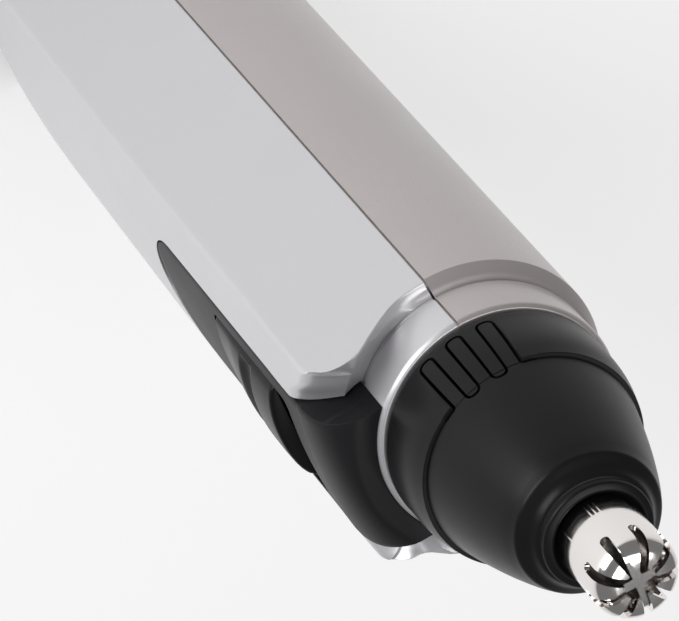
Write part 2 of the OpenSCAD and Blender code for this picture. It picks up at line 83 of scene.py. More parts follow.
def polar(radius: float, degrees: float, z: float) -> Point:
    """Return the point at a radius and an angle round the blade's axis, at height z."""
    return radius * math.cos(math.radians(degrees)), radius * math.sin(math.radians(degrees)), z


def through(points: Sequence[Flat], x: float) -> float:
    """Read a smooth curve through points at x.

    Args:
        points: (x, y) pairs with x rising.
        x: Where the curve is read; outside the points it keeps its end value.

    Returns:
        The curve's height, from a cubic between the two nearest points.
    """
    if x <= points[0][0]:
        return points[0][1]
    for i in range(len(points) - 1):
        (x0, y0), (x1, y1) = points[i], points[i + 1]
        if x <= x1:
            before = points[i - 1] if i else points[i]
            after = points[i + 2] if i + 2 < len(points) else points[i + 1]
            slope0 = (y1 - before[1]) / (x1 - before[0])
            slope1 = (after[1] - y0) / (after[0] - x0)
            t, h = (x - x0) / (x1 - x0), x1 - x0
            return ((2 * t**3 - 3 * t**2 + 1) * y0 + (t**3 - 2 * t**2 + t) * h * slope0
                    + (3 * t**2 - 2 * t**3) * y1 + (t**3 - t**2) * h * slope1)
    return points[-1][1]


def rounded(before: Flat, corner: Flat, after: Flat, radius: float, steps: int = 4) -> list[Flat]:
    """Replace a corner of an outline with a short curve.

    Args:
        before: The point before the corner.
        corner: The corner itself.
        after: The point after the corner.
        radius: How far along each side the curve starts.
        steps: Number of pieces in the curve.

    Returns:
        The curve's points, from the side of before to the side of after.
    """
    middle = Vector(corner)
    start = middle + (Vector(before) - middle).normalized() * radius
    end = middle + (Vector(after) - middle).normalized() * radius
    curve = []
    for i in range(steps + 1):
        t = i / steps
        p = start * (1 - t) ** 2 + middle * 2 * t * (1 - t) + end * t**2
        curve.append((p.x, p.y))
    return curve


def soften(outline: Sequence[tuple[float, float, float]], closed: bool = True, steps: int = 4) -> list[Flat]:
    """Round the corners of an outline.

    Args:
        outline: (x, y, radius) corners; radius 0 keeps a corner sharp.
        closed: Whether the last corner joins the first.
        steps: Pieces in each rounded corner.

    Returns:
        The outline's points with its corners rounded.
    """
    points: list[Flat] = []
    last = len(outline) - 1
    for i, (x, y, radius) in enumerate(outline):
        if radius <= 0 or (not closed and i in (0, last)):
            points.append((x, y))
            continue
        before, after = outline[i - 1], outline[(i + 1) % len(outline)]
        points += rounded(before[:2], (x, y), after[:2], radius, steps)
    return points


# Mesh tools ------------------------------------------------------------------------------


class Ends(Enum):
    """How the two open ends of a loft are closed."""

    FILL = "a flat face over each end"
    JOIN = "the last ring joins the first"
    STRIP = "a strip between the outer and the inner half of each end ring"


def deselect_all() -> None:
    """Leave edit mode and deselect every object."""
    if bpy.context.mode != "OBJECT":
        bpy.ops.object.mode_set(mode="OBJECT")
    bpy.ops.object.select_all(action="DESELECT")


def activate(piece: bpy.types.Object) -> None:
    """Make piece the only selected and the active object."""
    deselect_all()
    piece.select_set(True)
    bpy.context.view_layer.objects.active = piece


def loft(name: str, rings: Sequence[Ring], ends: Ends = Ends.FILL) -> bpy.types.Object:
    """Grow a closed skin from a circle by extruding it ring by ring.

    Args:
        name: Name of the new object.
        rings: Rings of points in millimetres, all with the same count.
        ends: How the first and last rings are closed.

    Returns:
        The new object, with its place in its mesh.
    """
    count = len(rings[0])
    deselect_all()
    bpy.ops.mesh.primitive_circle_add(vertices=count, radius=MM, fill_type="NOTHING")
    piece = bpy.context.active_object
    piece.name = piece.data.name = name
    bpy.ops.object.mode_set(mode="EDIT")
    mesh = bmesh.from_edit_mesh(piece.data)
    mesh.verts.ensure_lookup_table()
    column = mesh.verts.layers.int.new("column")
    level = mesh.verts.layers.int.new("level")
    mesh.verts.ensure_lookup_table()
    for i, vert in enumerate(mesh.verts):
        vert[column] = i
        vert.co = Vector(rings[0][i]) * MM
    bmesh.update_edit_mesh(piece.data)
    for step, ring in enumerate(rings[1:], start=1):
        bpy.ops.mesh.extrude_region_move()
        mesh = bmesh.from_edit_mesh(piece.data)
        column, level = mesh.verts.layers.int["column"], mesh.verts.layers.int["level"]
        for vert in mesh.verts:
            if vert.select:
                vert.co = Vector(ring[vert[column]]) * MM
                vert[level] = step
    mesh = bmesh.from_edit_mesh(piece.data)
    _close_ends(mesh, len(rings) - 1, count, ends)
    for old in list(mesh.verts.layers.int.keys()):
        mesh.verts.layers.int.remove(mesh.verts.layers.int[old])
    bmesh.update_edit_mesh(piece.data)
    bpy.ops.mesh.select_all(action="SELECT")
    bpy.ops.mesh.remove_doubles(threshold=1e-7)
    bpy.ops.mesh.normals_make_consistent(inside=False)
    bpy.ops.object.mode_set(mode="OBJECT")
    return piece


def _close_ends(mesh: bmesh.types.BMesh, top: int, count: int, ends: Ends) -> None:
    """Close the first and last ring of a loft in the way that ends says."""
    column, level = mesh.verts.layers.int["column"], mesh.verts.layers.int["level"]
    low = sorted((v for v in mesh.verts if v[level] == 0), key=lambda v: v[column])
    high = sorted((v for v in mesh.verts if v[level] == top), key=lambda v: v[column])
    if ends is Ends.FILL:
        mesh.faces.new(low[::-1])
        mesh.faces.new(high)
    elif ends is Ends.JOIN:
        for i in range(count):
            j = (i + 1) % count
            mesh.faces.new((high[i], high[j], low[j], low[i]))
    else:
        for ring in (low, high):
            for i in range(count // 2 - 1):
                mesh.faces.new((ring[i], ring[i + 1], ring[count - 2 - i], ring[count - 1 - i]))


def turn(name: str, profile: Sequence[Flat], low_z: float, start: float = 0.0, angle: float = 360.0,
         steps: int = 128) -> bpy.types.Object:
    """Turn a closed outline round the axis, as on a lathe.

    Args:
        name: Name of the new object.
        profile: (radius, height) points of the closed outline, in millimetres.
        low_z: Height that the outline's heights are counted from, in millimetres.
        start: Angle that the sweep starts at, in degrees.
        angle: Sweep in degrees; a full turn closes on itself.
        steps: Number of steps in the sweep.

    Returns:
        The new object.
    """
    full = angle >= 360
    rings = []
    for i in range(steps if full else steps + 1):
        a = math.radians(start + angle * i / steps)
        rings.append([(r * math.cos(a), r * math.sin(a), low_z + z) for r, z in profile])
    return loft(name, rings, Ends.JOIN if full else Ends.FILL)


def box(name: str, low: Point, high: Point) -> bpy.types.Object:
    """Add a closed box between two corners given in millimetres."""
    centre = [(a + b) / 2 * MM for a, b in zip(low, high)]
    deselect_all()
    bpy.ops.mesh.primitive_cube_add(size=1)
    piece = bpy.context.active_object
    piece.name = name
    sides = Vector([(b - a) * MM for a, b in zip(low, high)])
    piece.data.transform(Matrix.Translation(centre) @ Matrix.Diagonal((*sides, 1)))
    return piece


def carve(piece: bpy.types.Object, cutter: bpy.types.Object, how: str = "DIFFERENCE",
          keep: bool = False) -> bpy.types.Object:
    """Cut, keep or add a cutter's volume.

    Args:
        piece: The object that changes.
        cutter: The closed object that does the work.
        how: DIFFERENCE, INTERSECT or UNION.
        keep: Whether the cutter stays afterwards.

    Returns:
        The changed piece.
    """
    activate(piece)
    bpy.ops.object.modifier_add(type="BOOLEAN")
    work = piece.modifiers[-1]
    work.operation, work.solver, work.object = how, "EXACT", cutter
    bpy.ops.object.modifier_apply(modifier=work.name)
    if not keep:
        bpy.data.objects.remove(cutter)
    return piece


def break_edges(piece: bpy.types.Object, width: float, angle: float = 35, segments: int = 2) -> None:
    """Round every edge sharper than angle.

    Args:
        piece: The object that changes.
        width: Width of the rounding in millimetres.
        angle: Edges that turn more than this many degrees are rounded.
        segments: Steps across the rounding.
    """
    activate(piece)
    bpy.ops.object.modifier_add(type="BEVEL")
    work = piece.modifiers[-1]
    work.width, work.segments, work.limit_method = width * MM, segments, "ANGLE"
    work.angle_limit = math.radians(angle)
    work.harden_normals = False
    bpy.ops.object.modifier_apply(modifier=work.name)


def weld(pieces: Sequence[bpy.types.Object]) -> bpy.types.Object:
    """Join pieces into the first one, as one mesh, and return it."""
    deselect_all()
    for piece in pieces:
        piece.select_set(True)
    bpy.context.view_layer.objects.active = pieces[0]
    bpy.ops.object.join()
    return pieces[0]


def smooth(piece: bpy.types.Object, angle: float = 32) -> None:
    """Shade piece smooth, apart from edges sharper than angle in degrees."""
    activate(piece)
    bpy.ops.object.shade_smooth_by_angle(angle=math.radians(angle))
    deselect_all()


# Shader tools ----------------------------------------------------------------------------

Number = Union[int, float]
Operand = Union["Value", int, float]


class Value:
    """A number that varies over a surface, so that shader maths reads as Python maths."""

    def __init__(self, shade: "Shade", socket: bpy.types.NodeSocket) -> None:
        """Wrap one output socket of a shader node."""
        self.shade = shade
        self.socket = socket

    def _maths(self, operation: str, first: Operand, second: Operand) -> "Value":
        """Add one Math node on two values and wrap its result."""
        node = self.shade.node("ShaderNodeMath", {"operation": operation}, {0: first, 1: second})
        return Value(self.shade, node.outputs[0])

    def __add__(self, other: Operand) -> "Value":
        """Return self + other."""
        return self._maths("ADD", self, other)

    __radd__ = __add__

    def __sub__(self, other: Operand) -> "Value":
        """Return self - other."""
        return self._maths("SUBTRACT", self, other)

    def __rsub__(self, other: Operand) -> "Value":
        """Return other - self."""
        return self._maths("SUBTRACT", other, self)

    def __mul__(self, other: Operand) -> "Value":
        """Return self * other."""
        return self._maths("MULTIPLY", self, other)

    __rmul__ = __mul__

    def __pow__(self, other: Operand) -> "Value":
        """Return self to the power other."""
        return self._maths("POWER", self, other)

    def held(self, low: float, high: float) -> "Value":
        """Return self held between low and high."""
        return self._maths("MINIMUM", self._maths("MAXIMUM", self, low), high)


class Shade:
    """The node tree of one material."""

    def __init__(self, name: str) -> None:
        """Start an empty node material called name."""
        self.material = bpy.data.materials.new(name)
        self.material.use_nodes = True
        self.tree = self.material.node_tree
        self.tree.nodes.clear()

    def node(self, kind: str, settings: Optional[dict] = None,
             inputs: Optional[dict] = None) -> bpy.types.Node:
        """Add any node.

        Args:
            kind: The node's type, such as ShaderNodeTexNoise.
            settings: Properties set on the node before its sockets.
            inputs: Socket name or number to a value, a Value or a socket.

        Returns:
            The new node.
        """
        made = self.tree.nodes.new(kind)
        for key, setting in (settings or {}).items():
            setattr(made, key, setting)
        for key, given in (inputs or {}).items():
            if isinstance(given, Value):
                given = given.socket
            if isinstance(given, bpy.types.NodeSocket):
                self.tree.links.new(given, made.inputs[key])
            else:
                made.inputs[key].default_value = given
        return made

    def noise(self, where: bpy.types.NodeSocket, per_metre: float, detail: float = 3.0) -> Value:
        """Return noise around 0.5 with per_metre features in a metre."""
        made = self.node("ShaderNodeTexNoise", None, {"Vector": where, "Scale": per_metre, "Detail": detail})
        return Value(self, made.outputs[0])


Colour = tuple[float, float, float]


class Grain(Enum):
    """How the fine relief of a finish is stretched along X, Y and Z."""

    EVEN = (1.0, 1.0, 1.0)
    TURNED = (0.03, 0.03, 1.0)
    DRAWN = (1.0, 1.0, 0.03)


@dataclass(frozen=True)
class Finish:
    """A surface finish, with the sizes of its grain and of its slow change in tone.

    Attributes:
        slot: The record's material slot that it dresses; not used.
        colour: Main colour.
        second: Colour that the main one drifts towards.
        metallic: 1 for bare metal, 0 for plastic.
        roughness: Mean roughness.
        drift: How much the tone and the roughness change slowly.
        fleck: How much the tone changes from grain to grain.
        grains: Grains per metre.
        relief: Strength of the grain's bump.
        grain: How the grain is stretched.
        coat: Weight of a clear coat.
        specular: Strength of the plain reflection.
    """

    slot: str
    colour: Colour
    second: Colour
    metallic: float = 0.0
    roughness: float = 0.4
    drift: float = 0.5
    fleck: float = 0.1
    grains: float = 5000.0
    relief: float = 0.1
    grain: Grain = Grain.EVEN
    coat: float = 0.0
    specular: float = 0.5

    def build(self, name: str) -> bpy.types.Material:
        """Make the node material.

        Args:
            name: Name of the material.

        Returns:
            The material.
        """
        shade = Shade(name)
        place = shade.node("ShaderNodeTexCoord").outputs["Object"]
        stretch = shade.node("ShaderNodeMapping", None, {"Vector": place, "Scale": self.grain.value})
        fine = shade.noise(stretch.outputs[0], self.grains, 2.0)
        slow = shade.noise(place, 90.0, 4.0)
        drift = ((slow - 0.5) * self.drift + (fine - 0.5) * self.fleck + 0.5).held(0.0, 1.0)
        colour = shade.node("ShaderNodeMix", {"data_type": "RGBA"},
                            {0: drift, 6: (*self.colour, 1.0), 7: (*self.second, 1.0)}).outputs[2]
        change = (slow - 0.5) * (0.3 * self.drift) + (fine - 0.5) * (0.5 * self.fleck)
        rough = (change + self.roughness).held(0.03, 1.0)
        bump = shade.node("ShaderNodeBump", None,
                          {"Height": fine, "Strength": self.relief, "Distance": 0.5 / self.grains})
        surface = shade.node("ShaderNodeBsdfPrincipled", None, {
            "Base Color": colour, "Roughness": rough, "Normal": bump.outputs[0],
            "Metallic": self.metallic, "Coat Weight": self.coat, "Coat Roughness": 0.12,
            "Specular IOR Level": self.specular})
        shade.node("ShaderNodeOutputMaterial", None, {"Surface": surface.outputs[0]})
        shade.material.diffuse_color = (*self.colour, 1.0)
        return shade.material


FINISHES = {
    "silver_case": Finish("silver_case", (0.60, 0.595, 0.615), (0.54, 0.53, 0.55),
                          metallic=0.5, roughness=0.36,
                          drift=0.25, fleck=0.5, grains=9000, relief=0.06, coat=0.15),
    # Painted shade: a darker, warmer copy of the silver_case paint for the back shell, standing in for the shade
    # on the side turned away from the key lamp.
    "silver_back_painted_shade": Finish("silver_case", (0.45, 0.415, 0.41), (0.40, 0.37, 0.365),
                          metallic=0.5, roughness=0.34,
                          drift=0.25, fleck=0.5, grains=9000, relief=0.06, coat=0.15),
    "soft_black": Finish("soft_black", (0.008, 0.008, 0.009), (0.012, 0.0115, 0.013), roughness=0.46,
                         fleck=0.3, grains=7000, relief=0.12, specular=0.15),
    "black_plastic": Finish("black_plastic", (0.006, 0.0058, 0.006), (0.009, 0.0085, 0.009),
                            roughness=0.34,
                            fleck=0.3, grains=8000, relief=0.08, specular=0.15),
    "grey_frame": Finish("grey_frame", (0.10, 0.105, 0.11), (0.13, 0.13, 0.14),
                         roughness=0.5, relief=0.1),
    "white_nylon": Finish("white_nylon", (0.74, 0.72, 0.64), (0.66, 0.64, 0.56),
                          roughness=0.42, relief=0.08),
    "seal_rubber": Finish("seal_rubber", (0.02, 0.02, 0.021), (0.035, 0.034, 0.034),
                          roughness=0.62, relief=0.2),
    "cell_jacket": Finish("cell_jacket", (0.05, 0.12, 0.19), (0.07, 0.16, 0.23),
                          metallic=0.3, roughness=0.3,
                          grain=Grain.DRAWN, relief=0.04, coat=0.4),
    "contact_brass": Finish("contact_brass", (0.83, 0.62, 0.26), (0.68, 0.45, 0.18),
                            metallic=1.0, roughness=0.28,
                            grain=Grain.DRAWN, relief=0.12),
    "bush_bronze": Finish("bush_bronze", (0.60, 0.38, 0.18), (0.48, 0.29, 0.13),
                          metallic=1.0, roughness=0.45,
                          relief=0.3),
    "winding_copper": Finish("winding_copper", (0.72, 0.30, 0.13), (0.55, 0.20, 0.08),
                             metallic=0.9, roughness=0.33,
                             grain=Grain.DRAWN, grains=3500, relief=0.5),
    "motor_steel": Finish("motor_steel", (0.60, 0.61, 0.63), (0.50, 0.51, 0.53),
                          metallic=1.0, roughness=0.30,
                          grain=Grain.TURNED, relief=0.15),
    "ferrite": Finish("ferrite", (0.06, 0.06, 0.065), (0.09, 0.09, 0.09),
                      metallic=0.2, roughness=0.6, relief=0.3),
    "shaft_steel": Finish("shaft_steel", (0.70, 0.71, 0.72), (0.60, 0.60, 0.61),
                          metallic=1.0, roughness=0.2,
                          grain=Grain.TURNED, relief=0.1),
    "blade_steel": Finish("blade_steel", (0.83, 0.80, 0.78), (0.76, 0.73, 0.71),
                          metallic=1.0, roughness=0.13,
                          drift=0.3, fleck=0.2, grain=Grain.TURNED, grains=6000, relief=0.06),
}


@dataclass
class Wardrobe:
    """Makes each finish once and dresses pieces with it."""

    made: dict[str, bpy.types.Material] = field(default_factory=dict)

    def finish(self, name: str) -> bpy.types.Material:
        """Return the material of a named finish, made on first use."""
        if name not in self.made:
            self.made[name] = FINISHES[name].build(name)
        return self.made[name]

    def dress(self, piece: bpy.types.Object, body: str, name: str, stands_for: Sequence[str] = (),
              angle: float = 32) -> bpy.types.Object:
        """Finish a new piece and put it on its body.

        Args:
            piece: The finished mesh.
            body: The CAD body it moves with.
            name: Name of its finish, which says its slot in the record.
            stands_for: CAD nodes that it replaces.
            angle: Edges sharper than this many degrees stay crisp.

        Returns:
            The piece.
        """
        smooth(piece, angle)
        piece.data.materials.clear()
        piece.data.materials.append(self.finish(name))
        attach(piece, body)
        if stands_for:
            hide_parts(*stands_for)
        LOG.info("%s: %d faces on %s", piece.name, len(piece.data.polygons), body)
        return piece

    def dress_frame(self) -> None:
        """Give every CAD node that stays visible the finish of its slot."""
        slots = {part["node"]: part["material_slot"] for part in frame["record"]["subparts"]}
        for node, piece in frame["nodes"].items():
            piece.data.materials.clear()
            piece.data.materials.append(self.finish(slots[node]))


# Case ------------------------------------------------------------------------------------


@dataclass
class Case:
    """The two silver half shells and the battery cap. All sizes are in millimetres."""

    neck_z: float
    low_z: float
    half_w_low: float
    half_w_neck: float = 12.0
    widest_z: float = 30.0
    front_d: float = 15.0
    face_drop: float = 1.65
    neck_drop: float = 0.4
    grip_half_w: float = 7.0
    grip_low: float = 46.0
    grip_floor_y: float = 13.1
    foot_drop: float = 1.5
    wall: float = 1.4
    front_wall: float = 2.4
    neck_r: float = 10.9
    neck_h: float = 5.4
    bore_r: float = 9.6
    seam: float = 0.11
    soft: float = 0.5
    far_drop: float = 4.4
    rim_foot: float = -8.8
    cut_start: Point = (-11.8, -8.3, -1.75)
    cut_end: Point = (-7.0, -10.4, -4.55)

    @property
    def shoulder_z(self) -> float:
        """Height where the case ends and the neck starts."""
        return self.neck_z - self.neck_h

    def half_w(self, z: float) -> float:
        """Return half the width of the case at height z."""
        t = clamp01((z - self.widest_z) / (self.shoulder_z - self.widest_z))
        return lerp(self.half_w_low, self.half_w_neck, t)

    def front_y(self, z: float) -> float:
        """Return how far the crown of the front face stands from the axis at height z."""
        foot = self.foot_drop * clamp01((self.widest_z - z) / (self.widest_z - 8)) ** 2
        return self.front_d - foot - self.neck_drop * clamp01((z - self.neck_z + 45) / 35)

    def neck_profile(self, inner_low: float) -> list[tuple[float, float, float]]:
        """Return the corners of the neck's outline, as (radius, height over the neck plane, rounding)."""
        w = self.half_w_neck
        return [(w - 0.02, -6.15, 0.25), (w - 0.85, -5.55, 0.15), (self.neck_r - 0.32, -5.25, 0.1),
                (self.neck_r - 0.32, -4.85, 0.05), (self.neck_r, -4.7, 0.12), (self.neck_r, -0.35, 0.2),
                (self.neck_r - 0.3, 0.0, 0.12), (self.bore_r, 0.0, 0.1), (self.bore_r, inner_low, 0.0)]

    def back_shell(self) -> bpy.types.Object:
        """Turn the rear half shell with its half of the neck."""
        heights = [self.low_z + 0.12, 22.0, 30.0] + [30.0 + 10.2 * i for i in range(1, 8)]
        heights.append(self.neck_z - 8.0)
        outer = [(self.half_w(z), z - self.neck_z) for z in heights]
        outer[0:0] = [(self.half_w(self.low_z) - 0.12, self.low_z - self.neck_z)]
        inner = [(self.half_w(z) - self.wall, z - self.neck_z) for z in reversed([self.low_z] + heights)]
        profile = outer + soften(self.neck_profile(-8.0), closed=False, steps=5) + inner
        first = next(i for i, p in enumerate(profile) if p[1] > -6.3)
        profile[first] = (self.half_w_neck, -6.4)
        return self._gap(turn("back_shell", profile, self.neck_z, 0, 180, 120))

    def _gap(self, piece: bpy.types.Object) -> bpy.types.Object:
        """Step the outer part of a seam face back, so that the two halves meet with a fine dark line."""
        deep = 0.4
        for z0, z1, r0, r1 in ((self.low_z - 1, self.neck_z - 6.0, self.half_w_low, self.half_w_neck),
                               (self.neck_z - 6.0, self.neck_z - 4.9, self.neck_r - 0.3, self.neck_r - 0.3),
                               (self.neck_z - 5.0, self.neck_z + 1, self.neck_r, self.neck_r)):
            for x_side in (-1, 1):
                bend = [(self.widest_z, r0)] if z0 < self.widest_z else []
                path = [(z0, r0)] + bend + [(z1, r1)]
                rings = []
                for z, r in path:
                    xs = (x_side * (r - deep), x_side * (r + 3))
                    rings.append([(xs[0], -self.seam, z), (xs[1], -self.seam, z),
                                  (xs[1], self.seam, z), (xs[0], self.seam, z)])
                carve(piece, loft("seam_cutter", rings))
        return piece

    def rim_z(self, y: float) -> float:
        """Return the height over the neck plane where a side panel ends, at y in front of the axis."""
        return through([(0, -6.05), (2.0, -5.95), (3.8, -5.3), (6.6, -3.15), (8.2, -1.75), (9.4, -1.35),
                        (10.8, -1.4), (11.7, -1.95), (12.35, -2.9)], y)

    def front_shell(self) -> bpy.types.Object:
        """Loft the front half shell, cut the grip's pocket and add its half of the neck."""
        columns = self._columns()
        outer_columns = [self._skin_column(column) for column in columns]
        rows = len(outer_columns[0])
        rings: list[Ring] = []
        for row in range(rows):
            outer = [points[row] for points in outer_columns]
            inner = [self._inner_point(row, rows, column) for column in columns]
            full = self._mirrored(outer)
            rings.append([self._lowered(p) for p in full] + self._mirrored(inner)[::-1])
        shell = loft("front_shell", rings, Ends.STRIP)
        carve(shell, self.grip_prism(0.13))
        carve(shell, self.nose_space())
        stem = frame_box_mm("switch_wiper")
        carve(shell, box("switch_slot", (-1.8, -20, stem[0][2] + 0.7), (1.8, -10, stem[1][2] + 2.6)))
        profile = [(self.half_w_neck - 0.25, -8.0)]
        profile += soften(self.neck_profile(-8.0), closed=False, steps=5)
        profile[1] = (self.half_w_neck - 0.25, -6.3)
        neck = turn("front_neck", profile, self.neck_z, 180, 180, 120)
        return weld([self._gap(shell), self._gap(neck)])

    def _lowered(self, p: Point) -> Point:
        """Lower the corner on the far side of the grip, which ends short of the near one."""
        x, y, z = p
        if x <= 0:
            return p
        share = ease((x - self.grip_half_w + 1.5) / 1.5) * ease((-y - 6.5) / 3.5)
        share *= clamp01((z - self.neck_z + 16) / 8) * clamp01((math.hypot(x, y) - 11.2) / 1.8)
        return x, y, z - self.far_drop * share

    @staticmethod
    def _mirrored(left: Ring) -> Ring:
        """Return a left half of a ring, from seam to middle, with its right half added."""
        return left + [(-x, y, z) for x, y, z in reversed(left[:-1])]

    @staticmethod
    def _columns() -> list[tuple[str, float]]:
        """Return the columns of the front skin from the seam to the middle, as (stretch, share)."""
        side = [("side", q) for q in (0, 0.08, 0.16, 0.24, 0.32, 0.4, 0.47, 0.54, 0.6, 0.65, 0.7, 0.74,
                                      0.78, 0.82, 0.86, 0.9, 0.94, 0.97, 1.0)]
        ridge = [("ridge", q) for q in (0.2, 0.4, 0.6, 0.8, 1.0)]
        face = [("face", q) for q in (0.08, 0.16, 0.24, 0.32, 0.4, 0.5, 0.6, 0.7, 0.8, 0.9, 1.0)]
        return side + ridge + face

    def _plan(self, column: tuple[str, float], w: float, front: float) -> Flat:
        """Return the (x, y) of a column in a level cut with half width w and front depth front."""
        stretch, share = column
        ridge_y = front - self.face_drop
        face_start = w - self.soft

        def face_y(x: float) -> float:
            """Return the front face's y at x."""
            return -(front - self.face_drop * (x / w) ** 2)

        if stretch == "side":
            return -w, -(ridge_y - self.soft) * share
        if stretch == "ridge":
            p = [(-w, -(ridge_y - self.soft)), (-w, -ridge_y), (-face_start, face_y(face_start))]
            t = share
            return tuple((1 - t) ** 2 * a + 2 * t * (1 - t) * b + t * t * c for a, b, c in zip(*p))
        x = face_start * (1 - share)
        return -x, face_y(x)

    def _order(self, column: tuple[str, float]) -> float:
        """Return where a column stands between the seam, 0, and the middle of the front, 1."""
        stretch, share = column
        low, high = {"side": (0.0, 0.42), "ridge": (0.42, 0.46), "face": (0.46, 1.0)}[stretch]
        return lerp(low, high, share)

    def _levels(self) -> list[float]:
        """Return the heights of the straight part of the front skin."""
        return [self.low_z, self.low_z + 0.12, 18.0, 22.0, 26.0, 30.0, 40.0, 52.0, 64.0, 76.0, 88.0, 96.0,
                self.neck_z - 14.0]

    def _rim(self, column: tuple[str, float]) -> Point:
        """Return the point where a column of the skin turns over at its upper end."""
        stretch, share = column
        w, front = self.half_w_neck, self.front_y(self.neck_z - 5)
        x, y = self._plan(column, w, front)
        if stretch == "side":
            return x, y, self.neck_z + self.rim_z(-y)
        start = self.rim_z(front - self.face_drop - self.soft)
        if stretch == "ridge":
            return x, y, self.neck_z + lerp(start, start - 1.0, share)
        drop = clamp01((w - self.soft + x) / 4.5)
        fall = ease(drop) if drop > 0.5 else 0.5 * (2 * drop) ** 1.4
        return x, y, self.neck_z + lerp(start - 1.0, self.rim_foot, fall)

    def _moat_edge(self, column: tuple[str, float]) -> Point:
        """Return the point where a column reaches the edge of the moat round the neck."""
        x, y, z = self._rim(column)
        reach = clamp01((-y - 8.2) / (self.front_y(self.neck_z - 5) - self.face_drop - self.soft - 8.2))
        inset = 0.16
        if reach <= 0:
            return x + inset, y, z + 0.1
        turn_share = reach * 0.45
        stretch, share = column
        if stretch == "ridge":
            turn_share = lerp(0.45, 0.55, share)
        elif stretch == "face":
            turn_share = lerp(0.55, 1.0, clamp01(share / 0.39))
        x_cut, y_cut, z_cut = (lerp(a, b, turn_share) for a, b in zip(self.cut_start, self.cut_end))
        cut = (x_cut, y_cut, self.neck_z + z_cut)
        if stretch == "face" and share > 0.39:
            inner = (share - 0.39) / 0.61
            x_end, y_end, z_end = self.cut_end
            cut = (x_end * (1 - inner), y_end - 2.2 * inner, self.neck_z + z_end - 0.45 * inner)
        blend = ease(reach * 5)
        near = (x + inset, y, z + 0.1)
        return tuple(lerp(a, b, blend) for a, b in zip(near, cut))

    def _skin_column(self, column: tuple[str, float]) -> Ring:
        """Return a column of the outer skin from the foot to the neck."""
        stretch, _ = column
        points: Ring = []
        for row, level in enumerate(self._levels()):
            nip = 0.12 if row == 0 else 0.0
            x, y = self._plan(column, self.half_w(level) - nip, self.front_y(level) - nip)
            points.append((x, y, level))
        start, rim = points[-1], self._rim(column)
        for t in (0.15, 0.3, 0.45, 0.6, 0.72, 0.83, 0.92, 1.0):
            share = t if stretch == "side" else t**3
            points.append((lerp(start[0], rim[0], share), lerp(start[1], rim[1], share),
                           lerp(start[2], rim[2], t)))
        edge = self._moat_edge(column)
        width = math.dist(rim, edge)
        lift = min(0.12, 0.4 * width)
        if stretch != "side":
            lift = lerp(0.3, 1.7, clamp01(self._order(column) / 0.65))
        corner = (rim[0], rim[1], rim[2] + lift)
        for t in (0.05, 0.12, 0.22, 0.35, 0.5, 0.7, 0.86, 1.0):
            points.append(tuple((1 - t) ** 2 * a + 2 * t * (1 - t) * b + t * t * c
                                for a, b, c in zip(rim, corner, edge)))
        a = math.radians(180 + 90 * self._order(column))
        r = self.neck_r - 0.1
        foot = (r * math.cos(a), r * math.sin(a), self.neck_z - 5.3)
        for t in (0.06, 0.3, 0.6, 1.0):
            sag = 0.5 * math.sin(math.pi * t) * clamp01(math.dist(edge, foot) / 4)
            points.append((lerp(edge[0], foot[0], t), lerp(edge[1], foot[1], t),
                           lerp(edge[2], foot[2], t) - sag))
        return points

    def _inner_point(self, row: int, rows: int, column: tuple[str, float]) -> Point:
        """Return the inner skin's point in a row and a column."""
        order, levels = self._order(column), self._levels()
        if row == rows - 1:
            a = math.radians(180 + 90 * order)
            return self.bore_r * math.cos(a), self.bore_r * math.sin(a), self.neck_z - 5.6
        top = levels[-1]
        if row < len(levels):
            z = levels[row]
        else:
            z = lerp(top, self.neck_z - 10.5, (row - len(levels) + 1) / (rows - len(levels)))
        w, front = self.half_w(z), self.front_y(z)
        x, y = self._plan(column, w, front)
        return x * (w - self.wall) / w, y * (front - self.front_wall) / front, z

    def nose_space(self) -> bpy.types.Object:
        """Make the room that the nose of the grip takes in front of the neck."""
        half, n = self.grip_half_w + 0.1, self.neck_z
        outline = [(-half, -20), (half, -20), (half, -8.4)]
        outline += [((self.neck_r - 0.02) * math.cos(math.radians(-50.3 - 7.94 * i)),
                     (self.neck_r - 0.02) * math.sin(math.radians(-50.3 - 7.94 * i))) for i in range(11)]
        outline.append((-half, -8.4))
        return loft("nose_space", [[(x, y, z) for x, y in outline] for z in (n - 7.2, n + 4)])

    def grip_prism(self, margin: float) -> bpy.types.Object:
        """Make the solid that the grip fills, grown by margin all round."""
        half = self.grip_half_w + margin
        low = self.neck_z - self.grip_low + self.grip_half_w
        steps = 40
        turns = [math.pi + math.pi * i / steps for i in range(steps + 1)]
        outline = [(half * math.cos(a), low + half * math.sin(a)) for a in turns]
        outline += [(half, self.neck_z + 4), (-half, self.neck_z + 4)]
        rings = [[(x, y, z) for x, z in outline] for y in (-20.0, -self.grip_floor_y + margin)]
        return loft("grip_prism", rings)

    def plan_ring(self, z: float, inset: float) -> Ring:
        """Return the whole outline of the case at height z, pulled in by inset."""
        w, front = self.half_w(z) - inset, self.front_y(z) - inset
        front_half = [self._plan(k, w, front) for k in self._columns()]
        front_half += [(-x, y) for x, y in reversed(front_half[:-1])]
        arc = [(w * math.cos(math.pi * i / 60), w * math.sin(math.pi * i / 60)) for i in range(60)]
        return [(x, y, z) for x, y in arc + front_half[:-1]]

    def battery_cap(self) -> bpy.types.Object:
        """Loft the cap: rounded foot, straight sides, spigot and hollow inside."""
        top = self.low_z - 0.1
        spigot_high = frame_box_mm("battery_cap")[1][2]
        rings: list[Ring] = []
        depth, height = 1.9, 2.6
        for i in range(9):
            a = math.pi / 2 * i / 8
            rings.append(self.plan_ring(height * (1 - math.cos(a)), depth * (1 - math.sin(a))))
        rings += [self.plan_ring(z, 0.0) for z in (4.0, 6.0, 8.0, 10.0, 12.0, top - 0.12)]
        rings.append(self.plan_ring(top, 0.12))
        base = rings[-1]
        angles = [math.atan2(p[1], p[0]) for p in base]

